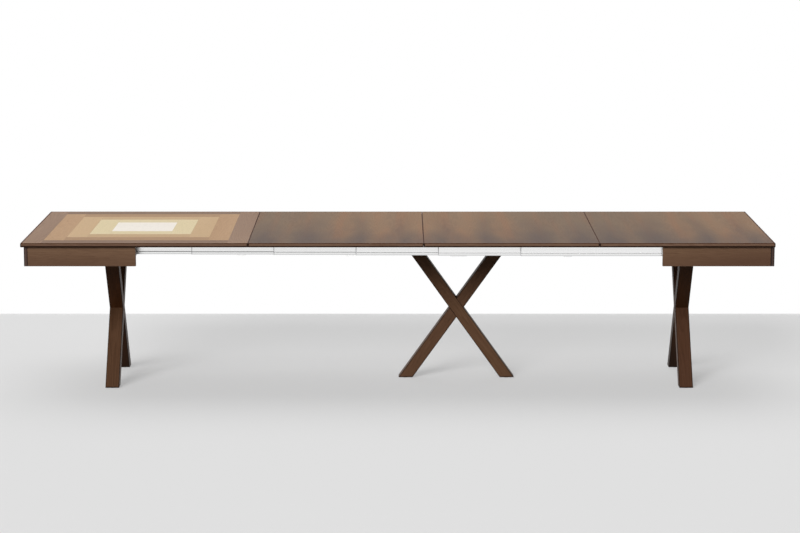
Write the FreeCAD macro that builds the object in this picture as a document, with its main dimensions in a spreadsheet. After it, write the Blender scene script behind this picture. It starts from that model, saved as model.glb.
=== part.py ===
"""Extending dining table: a square main top, three loose leaves, telescopic rails and three X legs.

The table is modelled drawn out, with its leaves in place. X runs along the table, Y from front to
back and Z up, with the origin on the floor under the middle of the top.
"""
import FreeCAD, Part
import os
import re
import Sketcher

LEAF_COUNT = 3
STAGE_COUNT = 6
CENTRE_STAGE = STAGE_COUNT // 2 + 1
INLAY_BANDS = ("outer", "middle", "inner")

# Driving dimensions in millimetres
DIMENSIONS = {
    "table_height": 770.0,
    "top_depth": 1100.0,
    "main_length": 1100.0,
    "leaf_length": 850.0,
    "panel_thickness": 20.0,
    "panel_gap": 1.0,
    "panel_arris": 1.0,
    "edge_strip": 6.0,
    "edge_round": 3.0,
    "corner_round": 5.0,
    "band_width": 100.0,
    "veneer_thickness": 1.0,
    "side_overhang": 15.0,
    "left_overhang": 15.0,
    "right_overhang": 2.0,
    "closed_gap": 1.0,
    "apron_height": 95.0,
    "apron_thickness": 18.0,
    "apron_arris": 1.5,
    "glide_gap": 0.5,
    "rail_width": 11.8,
    "rail_height": 49.0,
    "rail_gap": 0.4,
    "rail_end_gap": 23.5,
    "first_step": 364.0,
    "last_step": 186.0,
    "run_clearance": 0.3,
    "slot_height": 13.5,
    "slot_mouth": 3.0,
    "slot_lip": 1.6,
    "slot_width": 7.0,
    "slot_depth": 5.0,
    "stop_length": 6.0,
    "groove_wall": 2.2,
    "groove_width": 2.4,
    "groove_depth": 6.0,
    "wall_drop": 2.5,
    "chamber_wall": 2.2,
    "bar_thickness": 6.0,
    "bar_width": 40.0,
    "centre_bar_width": 80.0,
    "bar_pitch": 130.0,
    "bar_gap": 0.5,
    "beam_width": 70.0,
    "beam_gap": 3.5,
    "leg_width": 58.0,
    "leg_depth": 68.0,
    "leg_arris": 2.0,
    "leg_setback": 387.5,
    "foot_offset": 259.0,
    "cross_height": 362.0,
    "pad_thickness": 3.0,
    "pad_radius": 24.0,
    "head_gap": 2.0,
    "head_thickness": 8.0,
    "post_length": 90.0,
    "post_width": 56.0,
    "block_side": 60.0,
    "block_inset": 3.0,
    "bracket_leg": 28.0,
    "bracket_thickness": 3.0,
}

# Places worked out from the driving dimensions, each from the ones above it
PLACES = {
    "travel": f"{LEAF_COUNT} * leaf_length",
    "left_end": "-(main_length + travel) / 2",
    "main_end": "left_end + main_length",
    "under_top": "table_height - panel_thickness",
    "core_depth": "top_depth - 2 * edge_strip",
    "frame_length": "(main_length - left_overhang - right_overhang - closed_gap) / 2",
    "left_face": "left_end + left_overhang",
    "right_face": "left_face + 2 * frame_length + closed_gap + travel",
    "closed_middle": "left_face + frame_length + closed_gap / 2",
    "board_length": "frame_length - apron_thickness",
    "frame_half": "top_depth / 2 - side_overhang",
    "frame_depth": "2 * frame_half",
    "apron_inside": "frame_half - apron_thickness",
    "apron_bottom": "under_top - apron_height",
    "rail_top": "under_top - glide_gap",
    "rail_bottom": "rail_top - rail_height",
    "rail_pitch": "rail_width + rail_gap",
    "rail_length": "2 * (board_length - rail_end_gap) + closed_gap",
    "stage_step": f"(travel - first_step - last_step) / {STAGE_COUNT - 1}",
    "bar_bottom": "rail_bottom - bar_gap - bar_thickness",
    "beam_top": "bar_bottom - beam_gap",
    "beam_height": "beam_top - apron_bottom",
    "head_top": "apron_bottom - head_gap",
    "head_bottom": "head_top - head_thickness",
    "lean": "foot_offset / cross_height",
    "leg_half": "leg_width / 2 * sqrt(1 + lean ^ 2)",
    "foot_middle": "lean * (cross_height - pad_thickness)",
    "left_leg_x": "left_face + leg_setback",
    "right_leg_x": "right_face - leg_setback",
    "centre_leg_x": f"closed_middle + first_step + {CENTRE_STAGE - 1} * stage_step",
}

FULL_TURN = 360
QUARTER_TURN = 90
CUT_TOLERANCE = 0.02
TOUCH = 0.01

# How a sketch numbers the two ends of a line, its two axes and its origin
START, END = range(1, 3)
ACROSS_AXIS, UP_AXIS = range(-1, -3, -1)
ORIGIN = (ACROSS_AXIS, START)

doc = FreeCAD.newDocument("extending_table")
subparts = []


def linked(expression):
    """The expression with each named value written as a cell of its sheet."""
    def cell(match):
        name = match.group(0)
        if name in DIMENSIONS:
            return "dims." + name
        if name in PLACES:
            return "places." + name
        return name
    return re.sub(r"[a-z_]+", cell, expression)


def add_sheet(name, cells):
    """A sheet with one named cell on each row."""
    sheet = doc.addObject("Spreadsheet::Sheet", name)
    for row, (alias, content) in enumerate(cells.items(), start=1):
        sheet.set(f"A{row}", alias)
        sheet.set(f"B{row}", content)
        sheet.setAlias(f"B{row}", alias)
        doc.recompute()
    return sheet


add_sheet("dims", {name: str(value) for name, value in DIMENSIONS.items()})
places = add_sheet("places", {name: "=" + linked(formula) for name, formula in PLACES.items()})


def number(expression):
    """The value of an expression now."""
    return float(places.evalExpression(linked(expression)))


def bind(thing, **sizes):
    """Ties properties of a thing to expressions."""
    for name, expression in sizes.items():
        thing.setExpression(name, linked(expression))


def place(thing, x, y, z, turn=0):
    """Turns a thing about the vertical by whole degrees and ties its position to expressions."""
    upright = FreeCAD.Rotation(FreeCAD.Vector(0, 0, 1), turn % FULL_TURN)
    thing.Placement = FreeCAD.Placement(FreeCAD.Vector(), upright)
    for axis, expression in zip("xyz", (x, y, z)):
        thing.setExpression(f"Placement.Base.{axis}", linked(expression))
    return thing


def keep(thing):
    """Lists a thing as a sub-part of the table."""
    subparts.append(thing)
    return thing


def board(label, size, corner):
    """A rectangular board with its lowest corner at the given place."""
    box = doc.addObject("Part::Box", label)
    bind(box, Length=size[0], Width=size[1], Height=size[2])
    return place(box, *corner)


def group(label, members):
    """Like pieces that share one node, each still a solid of its own."""
    compound = doc.addObject("Part::Compound", label)
    compound.Links = members
    return compound


def fixed_corner(line, kind, expression):
    """The constraint that holds a line's start at a distance from the sketch's origin."""
    value = number(expression)
    if value == 0:
        axis = UP_AXIS if kind == "DistanceX" else ACROSS_AXIS
        return Sketcher.Constraint("PointOnObject", line, START, axis), None
    if value > 0:
        return Sketcher.Constraint(kind, *ORIGIN, line, START, value), linked(expression)
    return Sketcher.Constraint(kind, line, START, *ORIGIN, -value), f"-({linked(expression)})"


def outline_sketch(body, name, plane, *loops):
    """A sketch of closed straight-sided loops, each corner tied to a pair of expressions."""
    sketch = body.newObject("Sketcher::SketchObject", name)
    support = next(feature for feature in body.Origin.OriginFeatures if feature.Role == plane)
    sketch.AttachmentSupport = [(support, "")]
    sketch.MapMode = "FlatFace"
    for loop in loops:
        first = sketch.GeometryCount
        count = len(loop)
        corners = [FreeCAD.Vector(number(across), number(up), 0) for across, up in loop]
        lines = [Part.LineSegment(start, corners[(i + 1) % count]) for i, start in enumerate(corners)]
        sketch.addGeometry(lines, False)
        sketch.addConstraint([
            Sketcher.Constraint("Coincident", first + i, END, first + (i + 1) % count, START)
            for i in range(count)
        ])
        held = []
        for i, (across, up) in enumerate(loop):
            held.append(fixed_corner(first + i, "DistanceX", across))
            held.append(fixed_corner(first + i, "DistanceY", up))
        numbers = sketch.addConstraint([constraint for constraint, _ in held])
        for index, (_, expression) in zip(numbers, held):
            if expression:
                sketch.setExpression(f"Constraints[{index}]", expression)
    return sketch


def extruded(label, plane, length, *loops, both_ways=False):
    """A body made by extruding an outline square to its plane."""
    body = doc.addObject("PartDesign::Body", label)
    pad = body.newObject("PartDesign::Pad", label + "_pad")
    pad.Profile = outline_sketch(body, label + "_outline", plane, *loops)
    pad.SideType = "Symmetric" if both_ways else "One side"
    bind(pad, Length=length)
    body.Tip = pad
    doc.recompute()
    return body


def cut(body, name, plane, loop, volume, lift="0", depth=None, flipped=False):
    """Cuts an outline into a body, to a depth or right through, and checks the volume that goes."""
    before = body.Shape.Volume
    pocket = body.newObject("PartDesign::Pocket", name)
    sketch = outline_sketch(body, name + "_outline", plane, loop)
    sketch.setExpression("AttachmentOffset.Base.z", linked(lift))
    pocket.Profile = sketch
    pocket.Reversed = flipped
    if depth:
        bind(pocket, Length=depth)
    else:
        pocket.Type = "ThroughAll"
    body.Tip = pocket
    doc.recompute()
    if abs(before - body.Shape.Volume - number(volume)) > CUT_TOLERANCE * number(volume):
        raise RuntimeError(f"{name} cuts the wrong volume")


def at(value, expression):
    """True where a coordinate is the value of an expression."""
    return abs(value - number(expression)) < TOUCH


def ease(body, kind, size, wanted):
    """Rounds (Fillet) or bevels (Chamfer) the edges whose bounding boxes are wanted."""
    square = body.Tip
    edges = [f"Edge{i}" for i, rim in enumerate(square.Shape.Edges, start=1) if wanted(rim.BoundBox)]
    eased = body.newObject(f"PartDesign::{kind}", f"{body.Label}_{kind.lower()}")
    eased.Base = (square, edges)
    if kind == "Fillet":
        bind(eased, Radius=size)
    else:
        bind(eased, Size=size)
    body.Tip = eased
    doc.recompute()


# Top panels: a flat core with eased edges at the seams, between solid strips with rounded edges
def edge_strip(label, length, outer_end=None):
    """A strip along X whose +Y side is rounded, and the end at the panel's outer corner with it."""
    square = [
        ("0", "0"),
        ("edge_strip", "0"),
        ("edge_strip", "panel_thickness"),
        ("0", "panel_thickness"),
    ]
    strip = extruded(label, "YZ_Plane", length, square)
    if outer_end:
        ease(strip, "Fillet", "corner_round",
             lambda rim: at(rim.XMin, outer_end) and at(rim.XMax, outer_end) and at(rim.YMin, "edge_strip"))
    ease(strip, "Fillet", "edge_round", lambda rim: at(rim.YMin, "edge_strip") and at(rim.ZLength, "0"))
    return strip


def panel(label, left, length, left_strip=False, right_strip=False):
    """A panel with strips along its front and back, and along an end that meets no other panel."""
    start = "edge_strip" if left_strip else "0"
    stop = f"({length} - edge_strip)" if right_strip else length
    right_rim = [(stop, "panel_thickness - panel_arris"), (f"{stop} - panel_arris", "panel_thickness")]
    left_rim = [("panel_arris", "panel_thickness"), ("0", "panel_thickness - panel_arris")]
    outline = [(start, "0"), (stop, "0")]
    outline += [(stop, "panel_thickness")] if right_strip else right_rim
    outline += [(start, "panel_thickness")] if left_strip else left_rim
    core = keep(extruded(label, "XZ_Plane", "core_depth", outline, both_ways=True))
    place(core, left, "0", "under_top")

    back_end = "0" if left_strip else length if right_strip else None
    front_end = length if left_strip else "0" if right_strip else None
    back = edge_strip(label + "_back_strip", length, back_end)
    place(back, left, "core_depth / 2", "under_top")
    front = edge_strip(label + "_front_strip", length, front_end)
    place(front, f"{left} + {length}", "-core_depth / 2", "under_top", 2 * QUARTER_TURN)
    keep(group(label + "_edge_strips", [front, back]))
    if left_strip or right_strip:
        end = keep(edge_strip(label + "_end_strip", "core_depth"))
        end_x = f"{left} + {start if left_strip else stop}"
        end_y, turn = ("-core_depth / 2", QUARTER_TURN) if left_strip else ("core_depth / 2", -QUARTER_TURN)
        place(end, end_x, end_y, "under_top", turn)
    return core


main_top = panel("main_top", "left_end", "main_length", left_strip=True)
for leaf in range(1, LEAF_COUNT + 1):
    leaf_left = f"main_end + {leaf - 1} * leaf_length + panel_gap"
    panel(f"leaf_{leaf}", leaf_left, "(leaf_length - panel_gap)", right_strip=leaf == LEAF_COUNT)

# Inlay of nested veneer bands, laid flush in a shallow recess of the main top
recess = [
    ("band_width", "-(top_depth / 2 - band_width)"),
    ("main_length - band_width", "-(top_depth / 2 - band_width)"),
    ("main_length - band_width", "top_depth / 2 - band_width"),
    ("band_width", "top_depth / 2 - band_width"),
]
recess_volume = "(main_length - 2 * band_width) * (top_depth - 2 * band_width) * veneer_thickness"
cut(main_top, "inlay_recess", "XY_Plane", recess, recess_volume,
    lift="panel_thickness", depth="veneer_thickness")

veneer_floor = "table_height - veneer_thickness"
for ring, name in enumerate(INLAY_BANDS, start=1):
    margin = f"{ring} * band_width"
    ring_length = f"(main_length - 2 * {margin})"
    ring_depth = f"(top_depth - 2 * {margin})"
    rail_run = (f"{ring_length} - 2 * band_width", "band_width", "veneer_thickness")
    stile_run = ("band_width", ring_depth, "veneer_thickness")
    near = f"-{ring_depth} / 2"
    strips = [
        board(f"{name}_left_veneer", stile_run, (f"left_end + {margin}", near, veneer_floor)),
        board(f"{name}_right_veneer", stile_run,
              (f"main_end - {margin} - band_width", near, veneer_floor)),
        board(f"{name}_front_veneer", rail_run,
              (f"left_end + {margin} + band_width", near, veneer_floor)),
        board(f"{name}_back_veneer", rail_run,
              (f"left_end + {margin} + band_width", f"{ring_depth} / 2 - band_width", veneer_floor)),
    ]
    keep(group(f"inlay_{name}_band", strips))

centre_margin = f"{len(INLAY_BANDS) + 1} * band_width"
centre_depth = f"top_depth - 2 * {centre_margin}"
keep(board("inlay_centre",
           (f"main_length - 2 * {centre_margin}", centre_depth, "veneer_thickness"),
           (f"left_end + {centre_margin}", f"-({centre_depth}) / 2", veneer_floor)))


# End frames: aprons on three sides, corner blocks, and a crossbeam that carries the leg
def apron(label, size, corner, shows):
    """A board with bevelled edges below and beside the faces that show."""
    length, width, height = size
    outline = [("0", "0"), (length, "0"), (length, width), ("0", width)]
    body = extruded(label, "XY_Plane", height, outline)
    ease(body, "Chamfer", "apron_arris", lambda rim: shows(rim) and not at(rim.ZMin, height))
    return keep(place(body, *corner))


def end_frame(side, face, leg_x, inward, top):
    """One U-shaped frame, with inward +1 where it opens towards +X and -1 towards -X."""
    height = f"({top} - apron_bottom)"
    end_x = face if inward > 0 else f"{face} - apron_thickness"
    board_x = f"{face} + apron_thickness" if inward > 0 else f"{face} - frame_length"
    inner_x = f"{face} + {inward} * apron_thickness"
    end_face, free_end = ("0", "board_length") if inward > 0 else ("apron_thickness", "0")

    def across(rim, place_x):
        return at(rim.XMin, place_x) and at(rim.XMax, place_x)

    apron(f"{side}_end_apron", ("apron_thickness", "frame_depth", height),
          (end_x, "-frame_half", "apron_bottom"),
          lambda rim: across(rim, end_face) or at(rim.YMax, "0") or at(rim.YMin, "frame_depth"))
    apron(f"{side}_front_apron", ("board_length", "apron_thickness", height),
          (board_x, "-frame_half", "apron_bottom"),
          lambda rim: across(rim, free_end) or at(rim.YMax, "0"))
    apron(f"{side}_back_apron", ("board_length", "apron_thickness", height),
          (board_x, "apron_inside", "apron_bottom"),
          lambda rim: across(rim, free_end) or at(rim.YMin, "apron_thickness"))

    triangle = [("0", "0"), ("block_side", "0"), ("0", "block_side")]
    turns = (0, -QUARTER_TURN) if inward > 0 else (QUARTER_TURN, 2 * QUARTER_TURN)
    blocks = []
    for end, turn, y in zip(("front", "back"), turns, ("-apron_inside", "apron_inside")):
        block = extruded(f"{side}_{end}_block", "XY_Plane", "beam_height - 2 * block_inset", triangle)
        blocks.append(place(block, inner_x, y, "apron_bottom + block_inset", turn))
    keep(group(f"{side}_corner_blocks", blocks))

    keep(board(f"{side}_crossbeam", ("beam_width", "2 * apron_inside", "beam_height"),
               (f"{leg_x} - beam_width / 2", "-apron_inside", "apron_bottom")))
    angle = [
        ("0", "0"),
        ("bracket_leg", "0"),
        ("bracket_leg", "bracket_thickness"),
        ("bracket_thickness", "bracket_thickness"),
        ("bracket_thickness", "bracket_leg"),
        ("0", "bracket_leg"),
    ]
    ends = (("front", "-apron_inside", "+", 0), ("back", "apron_inside", "-", 2 * QUARTER_TURN))
    brackets = []
    for end, y, sign, turn in ends:
        bracket = extruded(f"{side}_{end}_bracket", "XY_Plane", "beam_height - 2 * block_inset", angle)
        x = f"{leg_x} {sign} beam_width / 2"
        brackets.append(place(bracket, x, y, "apron_bottom + block_inset", turn))
    keep(group(f"{side}_beam_brackets", brackets))


end_frame("left", "left_face", "left_leg_x", 1, "under_top")
end_frame("right", "right_face", "right_leg_x", -1, "rail_top")

# Rail section: the outer side has a T slot and a top groove, the inner side a T rib and a hook that
# run in the slot and groove of the next rail inwards
SLOT_AND_GROOVE = [
    ("rail_width", "slot_height - slot_mouth / 2"),
    ("rail_width - slot_lip", "slot_height - slot_mouth / 2"),
    ("rail_width - slot_lip", "slot_height - slot_width / 2"),
    ("rail_width - slot_depth", "slot_height - slot_width / 2"),
    ("rail_width - slot_depth", "slot_height + slot_width / 2"),
    ("rail_width - slot_lip", "slot_height + slot_width / 2"),
    ("rail_width - slot_lip", "slot_height + slot_mouth / 2"),
    ("rail_width", "slot_height + slot_mouth / 2"),
    ("rail_width", "rail_height - wall_drop"),
    ("rail_width - groove_wall", "rail_height - wall_drop"),
    ("rail_width - groove_wall", "rail_height - groove_depth"),
    ("rail_width - groove_wall - groove_width", "rail_height - groove_depth"),
]
HOOK_REACH = "(rail_gap + groove_wall + groove_width - run_clearance)"
HOOK_ROOT = "(rail_gap + groove_wall + run_clearance)"
RIB_REACH = "(rail_gap + slot_depth - run_clearance)"
RIB_NECK = "(rail_gap + slot_lip + run_clearance)"
HOOK_AND_RIB = [
    (f"-{HOOK_REACH}", "rail_height"),
    (f"-{HOOK_REACH}", "rail_height - groove_depth + run_clearance"),
    (f"-{HOOK_ROOT}", "rail_height - groove_depth + run_clearance"),
    (f"-{HOOK_ROOT}", "rail_height - wall_drop + run_clearance"),
    ("0", "rail_height - wall_drop + run_clearance"),
    ("0", "slot_height + slot_mouth / 2 - run_clearance"),
    (f"-{RIB_NECK}", "slot_height + slot_mouth / 2 - run_clearance"),
    (f"-{RIB_NECK}", "slot_height + slot_width / 2 - run_clearance"),
    (f"-{RIB_REACH}", "slot_height + slot_width / 2 - run_clearance"),
    (f"-{RIB_REACH}", "slot_height - slot_width / 2 + run_clearance"),
    (f"-{RIB_NECK}", "slot_height - slot_width / 2 + run_clearance"),
    (f"-{RIB_NECK}", "slot_height - slot_mouth / 2 + run_clearance"),
    ("0", "slot_height - slot_mouth / 2 + run_clearance"),
]
CHAMBER_FLOOR = "slot_height + slot_width / 2 + chamber_wall"
CHAMBER_ROOF = "rail_height - groove_depth - chamber_wall"
CHAMBER = [
    ("chamber_wall", CHAMBER_FLOOR),
    ("rail_width - chamber_wall", CHAMBER_FLOOR),
    ("rail_width - chamber_wall", CHAMBER_ROOF),
    ("chamber_wall", CHAMBER_ROOF),
]


# The rib's right part is cut away, so that its end meets a plug in the other rail's slot when the
# table is fully drawn out
RIB_HEAD_HALF = "(slot_width / 2 - run_clearance)"
RIB_OUTLINE = [
    (f"-{RIB_REACH}", f"slot_height - {RIB_HEAD_HALF}"),
    ("0", f"slot_height - {RIB_HEAD_HALF}"),
    ("0", f"slot_height + {RIB_HEAD_HALF}"),
    (f"-{RIB_REACH}", f"slot_height + {RIB_HEAD_HALF}"),
]
RIB_AREA = (f"({RIB_NECK} * (slot_mouth - 2 * run_clearance)"
            f" + ({RIB_REACH} - {RIB_NECK}) * 2 * {RIB_HEAD_HALF})")
PLUG_OUTLINE = SLOT_AND_GROOVE[:8]


def rail_inside(stage):
    """Distance of a rail's inner face from the middle of the table."""
    return f"(apron_inside - {STAGE_COUNT + 2 - stage} * rail_pitch + rail_gap)"


def stage_middle(stage):
    """Where the middle of a floating stage lies along the drawn-out table."""
    return f"(closed_middle + first_step + {stage - 1} * stage_step)"


def rail_span(stage):
    """Left end and length of a stage's rails: the left rail is stage 0, the right runner the last."""
    if stage == 0:
        return "(left_face + apron_thickness)", "(board_length - rail_end_gap + rail_length / 2)"
    if stage > STAGE_COUNT:
        return "(right_face - frame_length)", "board_length"
    return f"({stage_middle(stage)} - rail_length / 2)", "rail_length"


def rail(label, stage, turned):
    """One extruded rail, with its right end at its own start where it will be turned half round."""
    first, last = stage == 0, stage == STAGE_COUNT + 1
    left, length = rail_span(stage)
    top = "rail_height + glide_gap" if first else "rail_height"
    outer_side = [("rail_width", "rail_height")] if last else SLOT_AND_GROOVE
    shoulder = [] if last else [("rail_width - groove_wall - groove_width", top)]
    inner_side = [("0", top)] if first else HOOK_AND_RIB
    outline = [("0", "0"), ("rail_width", "0")] + outer_side + shoulder + inner_side
    profile = extruded(label + "_profile", "YZ_Plane", length, outline, CHAMBER)
    if not first:
        other_left, other_length = rail_span(stage - 1)
        rib_end = f"({other_left} + {other_length} - stop_length - run_clearance - {left})"
        bare_length = f"({length} - {rib_end})"
        lift = bare_length if turned else rib_end
        cut(profile, label + "_rib_end", "YZ_Plane", RIB_OUTLINE, f"{RIB_AREA} * {bare_length}",
            lift=lift, flipped=not turned)
    return profile


def rail_pair(label, stage):
    """The front and back rail of one stage, each with the plug that stops the next rail outwards."""
    left, length = rail_span(stage)
    inside = rail_inside(stage)
    back = place(rail(label + "_back", stage, False), left, inside, "rail_bottom")
    front = rail(label + "_front", stage, True)
    place(front, f"{left} + {length}", f"-{inside}", "rail_bottom", 2 * QUARTER_TURN)
    if stage > STAGE_COUNT:
        plugs = []
    else:
        back_plug = extruded(label + "_back_plug", "YZ_Plane", "stop_length", PLUG_OUTLINE)
        place(back_plug, f"{left} + {length} - stop_length", inside, "rail_bottom")
        front_plug = extruded(label + "_front_plug", "YZ_Plane", "stop_length", PLUG_OUTLINE)
        place(front_plug, f"{left} + {length}", f"-{inside}", "rail_bottom", 2 * QUARTER_TURN)
        plugs = [back_plug, front_plug]
    keep(group(label + "_back", [back] + plugs[:1]))
    keep(group(label + "_front", [front] + plugs[1:]))


rail_pair("left_rail", 0)
rail_pair("right_runner", STAGE_COUNT + 1)

# Floating stages: each pair of rails is tied by a flat cross bar that passes under the other rails
for stage in range(1, STAGE_COUNT + 1):
    rail_pair(f"stage_{stage}_rail", stage)
    seat_in = rail_inside(stage)
    seat_out = f"({seat_in} + rail_width)"
    seated_bar = [
        (f"-{seat_out}", "0"),
        (seat_out, "0"),
        (seat_out, "bar_thickness + bar_gap"),
        (seat_in, "bar_thickness + bar_gap"),
        (seat_in, "bar_thickness"),
        (f"-{seat_in}", "bar_thickness"),
        (f"-{seat_in}", "bar_thickness + bar_gap"),
        (f"-{seat_out}", "bar_thickness + bar_gap"),
    ]
    width = "centre_bar_width" if stage == CENTRE_STAGE else "bar_width"
    bar = keep(extruded(f"stage_{stage}_cross_bar", "YZ_Plane", width, seated_bar, both_ways=True))
    place(bar, f"{stage_middle(stage)} + {stage - CENTRE_STAGE} * bar_pitch", "0", "bar_bottom")


# X legs: two leaning arms, half-lapped where they cross, on round foot pads
def leg_arm(label, foot_side, front_half, top):
    """One arm with its foot at -X or +X, keeping its front or back half at the lap."""
    def edge(height, side):
        return f"{foot_side} * lean * (cross_height - {height}) + {side} * leg_half"

    outline = [
        (edge("pad_thickness", -1), "pad_thickness"),
        (edge("pad_thickness", 1), "pad_thickness"),
        (edge(f"({top})", 1), top),
        (edge(f"({top})", -1), top),
    ]
    arm = extruded(label, "XZ_Plane", "leg_depth", outline, both_ways=True)
    ease(arm, "Chamfer", "leg_arris", lambda rim: rim.ZLength > number("cross_height"))
    lap_reach = "leg_half / lean"
    lap = [
        ("-leg_half", "cross_height"),
        ("0", f"cross_height - {lap_reach}"),
        ("leg_half", "cross_height"),
        ("0", f"cross_height + {lap_reach}"),
    ]
    lap_volume = f"leg_half * {lap_reach} * leg_depth"
    cut(arm, label + "_lap", "XZ_Plane", lap, lap_volume, flipped=not front_half)
    return keep(arm)


def x_leg(name, arm_names, x, turn, top):
    """A pair of crossed arms on pads: along X as drawn, or along Y where turned a quarter."""
    for arm_name, foot_side in zip(arm_names, (-1, 1)):
        arm = leg_arm(f"{name}_arm_{arm_name}", foot_side, foot_side > 0, top)
        place(arm, x, "0", "0", turn)
    pads = []
    for arm_name, foot_side in zip(arm_names, (-1, 1)):
        pad = doc.addObject("Part::Cylinder", f"{name}_{arm_name}_pad")
        bind(pad, Radius="pad_radius", Height="pad_thickness")
        reach = f"{foot_side} * foot_middle"
        if turn:
            place(pad, x, reach, "0")
        else:
            place(pad, f"{x} + {reach}", "0", "0")
        pads.append(pad)
    keep(group(f"{name}_foot_pads", pads))


x_leg("left_leg", ("front", "back"), "left_leg_x", QUARTER_TURN, "apron_bottom")
x_leg("right_leg", ("front", "back"), "right_leg_x", QUARTER_TURN, "apron_bottom")
x_leg("centre_leg", ("left", "right"), "centre_leg_x", 0, "head_bottom")

# Centre leg head: a plate across the two arms and a post up to the fourth stage's bar
head_half = "(lean * (head_bottom - cross_height) + leg_half)"
keep(board("centre_leg_head_plate", (f"2 * {head_half}", "leg_depth", "head_thickness"),
           (f"centre_leg_x - {head_half}", "-leg_depth / 2", "head_bottom")))
keep(board("centre_leg_post", ("post_length", "post_width", "bar_bottom - head_top"),
           ("centre_leg_x - post_length / 2", "-post_width / 2", "head_top")))

# Every object is sound before anything is written
doc.recompute()
for thing in doc.Objects:
    if "Invalid" in thing.State or "Error" in thing.State:
        raise RuntimeError(f"{thing.Label} failed to build")
for thing in subparts:
    if thing.Shape.isNull() or not thing.Shape.isValid():
        raise RuntimeError(f"{thing.Label} has no sound shape")
os.makedirs("parts", exist_ok=True)
for thing in subparts:
    thing.Shape.exportStep(f"parts/{thing.Label}.step")
print(f"{len(subparts)} sub-parts written")
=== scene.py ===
"""Looks of an extending dining table: crossed walnut legs, aproned end frames, telescopic rails,
a square top inlaid with nested veneer bands, and three loose leaves."""

import bpy
import math
import numpy as np
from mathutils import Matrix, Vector


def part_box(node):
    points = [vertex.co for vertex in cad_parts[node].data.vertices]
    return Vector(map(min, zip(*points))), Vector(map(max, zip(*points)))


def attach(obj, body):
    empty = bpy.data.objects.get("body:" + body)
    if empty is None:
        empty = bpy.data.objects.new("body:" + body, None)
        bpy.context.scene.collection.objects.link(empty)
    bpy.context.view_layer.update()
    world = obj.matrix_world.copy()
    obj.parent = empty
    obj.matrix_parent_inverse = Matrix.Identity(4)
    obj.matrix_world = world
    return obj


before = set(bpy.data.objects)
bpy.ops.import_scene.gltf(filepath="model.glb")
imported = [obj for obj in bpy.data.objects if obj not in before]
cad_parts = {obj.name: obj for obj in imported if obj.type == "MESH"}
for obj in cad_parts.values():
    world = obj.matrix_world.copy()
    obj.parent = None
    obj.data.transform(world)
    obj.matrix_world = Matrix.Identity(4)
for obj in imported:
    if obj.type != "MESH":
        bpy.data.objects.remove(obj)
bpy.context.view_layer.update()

# Leg arms
# Each X leg is two arms of solid walnut, stained dark and finished with satin lacquer. The arms are
# half-lapped where they cross, and their long edges are bevelled by hand plane.


class Tint:
    """One value in a material: sums and products with it add Math nodes, and node() adds any other."""

    def __init__(self, tree, socket=None):
        """Keeps a node tree and the output socket in it that gives the value."""
        self.tree = tree
        self.socket = socket

    def feed(self, made, inputs):
        """Sets sockets of a node, each to a value or to a link."""
        for key, value in inputs.items():
            if isinstance(value, Tint):
                self.tree.links.new(value.socket, made.inputs[key])
            else:
                made.inputs[key].default_value = value

    def node(self, kind, settings, inputs, output=0):
        """Adds a node of a type, sets its settings, then feeds its sockets."""
        made = self.tree.nodes.new("ShaderNode" + kind)
        for name, value in settings.items():
            setattr(made, name, value)
        self.feed(made, inputs)
        return Tint(self.tree, made.outputs[output] if made.outputs else None)

    def math(self, operation, first, second=0.0):
        """One Math node on two values."""
        return self.node("Math", {"operation": operation}, {0: first, 1: second})

    def __add__(self, other):
        """This value plus another."""
        return self.math("ADD", self, other)

    def __sub__(self, other):
        """This value less another."""
        return self.math("SUBTRACT", self, other)

    def __rsub__(self, other):
        """Another value less this one."""
        return self.math("SUBTRACT", other, self)

    def __mul__(self, other):
        """This value times another."""
        return self.math("MULTIPLY", self, other)

    __radd__ = __add__
    __rmul__ = __mul__

    def size(self):
        """The value without its sign."""
        return self.math("ABSOLUTE", self)

    def rise(self, low, high):
        """Goes smoothly from 0 at low to 1 at high."""
        limits = {"Value": self, "From Min": low, "From Max": high, "To Min": 0.0, "To Max": 1.0}
        return self.node("MapRange", {"interpolation_type": "SMOOTHSTEP"}, limits)

    def mix(self, first, second):
        """The first colour where this value is 0 and the second where it is 1. A colour that is written
        as three parts is opaque."""
        first_socket, second_socket, mixed_socket = 6, 7, 2
        inputs = {0: self}
        for socket, colour in ((first_socket, first), (second_socket, second)):
            inputs[socket] = colour if isinstance(colour, Tint) else (*colour, 1.0)
        return self.node("Mix", {"data_type": "RGBA"}, inputs, mixed_socket)

    def times(self, factors):
        """A colour or a place with each of its parts times a factor."""
        return self.node("VectorMath", {"operation": "MULTIPLY"}, {0: self, 1: factors})


def finish(name, sockets):
    """A material with one Principled shader; sockets is a function that gives its inputs."""
    material = bpy.data.materials.new(name)
    material.use_nodes = True
    paint = Tint(material.node_tree)
    paint.feed(paint.tree.nodes["Principled BSDF"], sockets(paint))
    return material


def coat(material, *node_names):
    """Gives CAD pieces their finish."""
    for name in node_names:
        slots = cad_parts[name].data.materials
        slots.clear()
        slots.append(material)


def shaded(colour, shade):
    """A colour with each part times a shade, or times its own part of one."""
    return tuple(np.multiply(colour, shade))


ALONG_X = (1.0, 0.0, 0.0)
UPWARDS = (0.0, 0.0, 1.0)


def here(paint):
    """Where a point of the piece lies: its Object coordinates, in metres."""
    return paint.node("TexCoord", {}, {}, "Object")


def spot(paint, axis):
    """One of the Object coordinates X, Y and Z."""
    return paint.node("SeparateXYZ", {}, {0: here(paint)}, axis)


def along(paint, grain):
    """Object coordinates turned so that the grain direction becomes the first axis."""
    turn = Vector(grain).rotation_difference(Vector(ALONG_X)).to_euler()
    return paint.node("Mapping", {}, {"Vector": here(paint), "Rotation": turn})


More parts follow.
